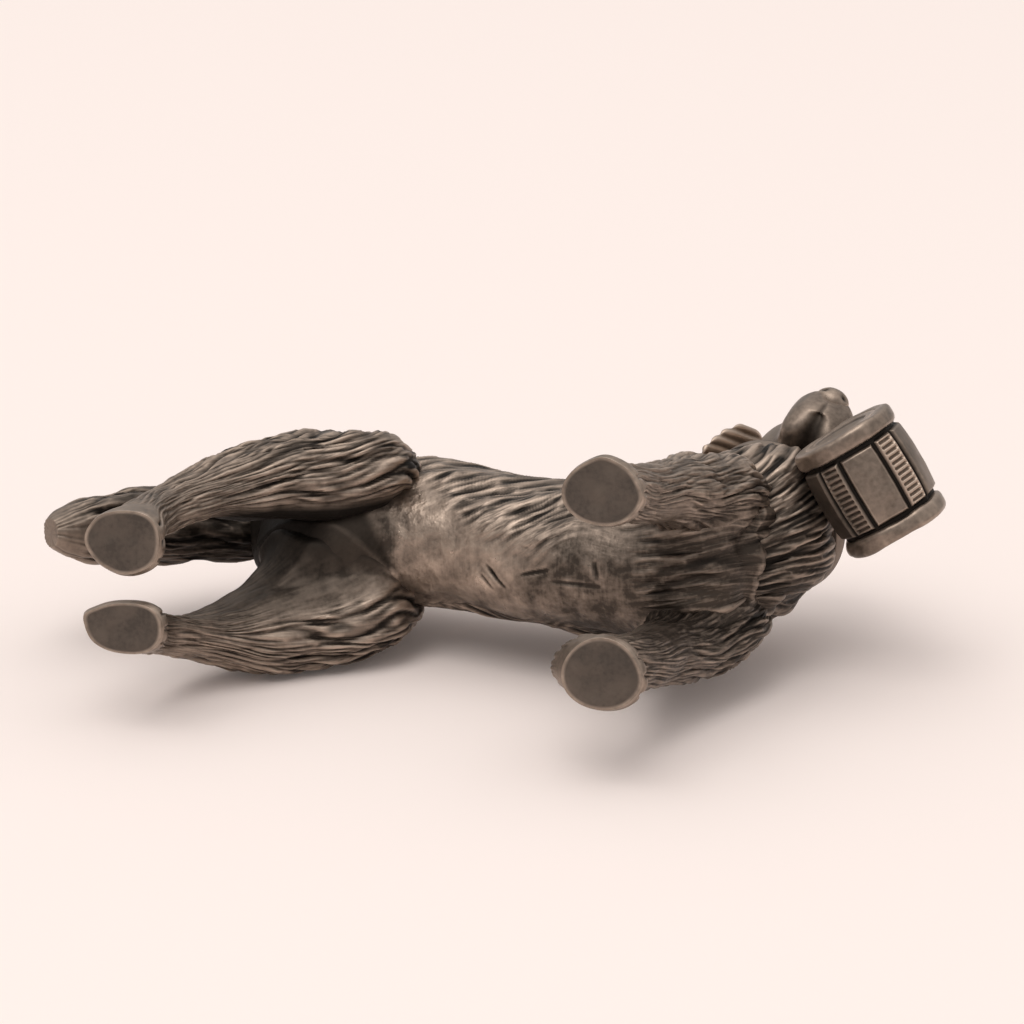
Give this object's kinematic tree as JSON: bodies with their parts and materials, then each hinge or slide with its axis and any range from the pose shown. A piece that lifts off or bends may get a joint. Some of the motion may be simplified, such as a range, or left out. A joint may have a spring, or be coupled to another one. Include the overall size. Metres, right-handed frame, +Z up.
{
  "type": "saint bernard figurine",
  "caption": "Small cast-pewter standing dog with a turned head, carved coat, hanging tail and a stave keg on its collar; stands on its filed paws.",
  "frame": {"origin": "middle of the figurine's box, on the surface its paws stand on", "axes": "+X towards the chest and keg, +Y to the animal's left, +Z up"},
  "size_m": [0.0682, 0.0212, 0.0429],
  "materials": {
    "antiqued_pewter": "cast, blackened in the hollows",
    "worn_pewter": "cast, rubbed bright on the raised edges"
  },
  "bodies": {
    "root": {"torso": "antiqued_pewter", "neck_ruff": "antiqued_pewter", "head": "worn_pewter", "right_ear": "antiqued_pewter", "left_ear": "antiqued_pewter", "right_front_leg": "antiqued_pewter", "left_front_leg": "antiqued_pewter", "right_hind_leg": "antiqued_pewter", "left_hind_leg": "antiqued_pewter", "tail": "antiqued_pewter", "collar": "antiqued_pewter", "keg_barrel": "worn_pewter", "keg_hoop_right": "worn_pewter", "keg_hoop_left": "worn_pewter"}
  },
  "joints": []
}
